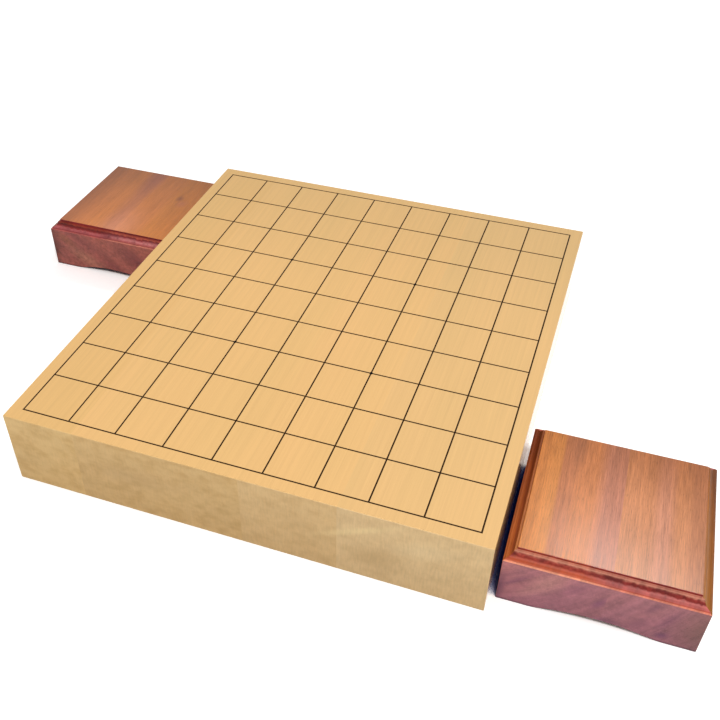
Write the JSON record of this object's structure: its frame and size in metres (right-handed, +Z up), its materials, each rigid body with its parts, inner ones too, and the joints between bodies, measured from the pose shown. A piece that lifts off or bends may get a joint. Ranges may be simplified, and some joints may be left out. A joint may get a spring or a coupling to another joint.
{
  "type": "tabletop shogi board",
  "caption": "Thick glued wooden shogi board with a raised lacquer field of squares and star points, and a low arched piece stand with a moulded rim at each player's right hand.",
  "frame": {"origin": "the middle of the board's underside, on the table", "axes": "+X from the board towards the near player's right hand, +Y from the near player to the far player, +Z up out of the playing surface"},
  "size_m": [0.5846, 0.3653, 0.0602],
  "materials": {
    "board_wood": "planed pale softwood, waxed, satin",
    "black_lacquer": "raised black lacquer",
    "stand_wood": "reddish hardwood with purple streaks, satin varnish"
  },
  "bodies": {
    "board": {"board_stave_1": "board_wood", "board_stave_2": "board_wood", "board_stave_3": "board_wood", "board_stave_4": "board_wood", "lengthwise_lines": "black_lacquer", "crosswise_lines": "black_lacquer", "star_points": "black_lacquer"},
    "right_stand": {"right_stand_inner_stave": "stand_wood", "right_stand_outer_stave": "stand_wood"},
    "left_stand": {"left_stand_inner_stave": "stand_wood", "left_stand_outer_stave": "stand_wood"}
  },
  "joints": [
    {"name": "right_stand_slide", "type": "slide", "parent": "board", "child": "right_stand", "axis": [1, 0, 0], "range_m": [-0.0027, 0.1205]},
    {"name": "left_stand_slide", "type": "slide", "parent": "board", "child": "left_stand", "axis": [-1, 0, 0], "range_m": [-0.0037, 0.1205]}
  ]
}
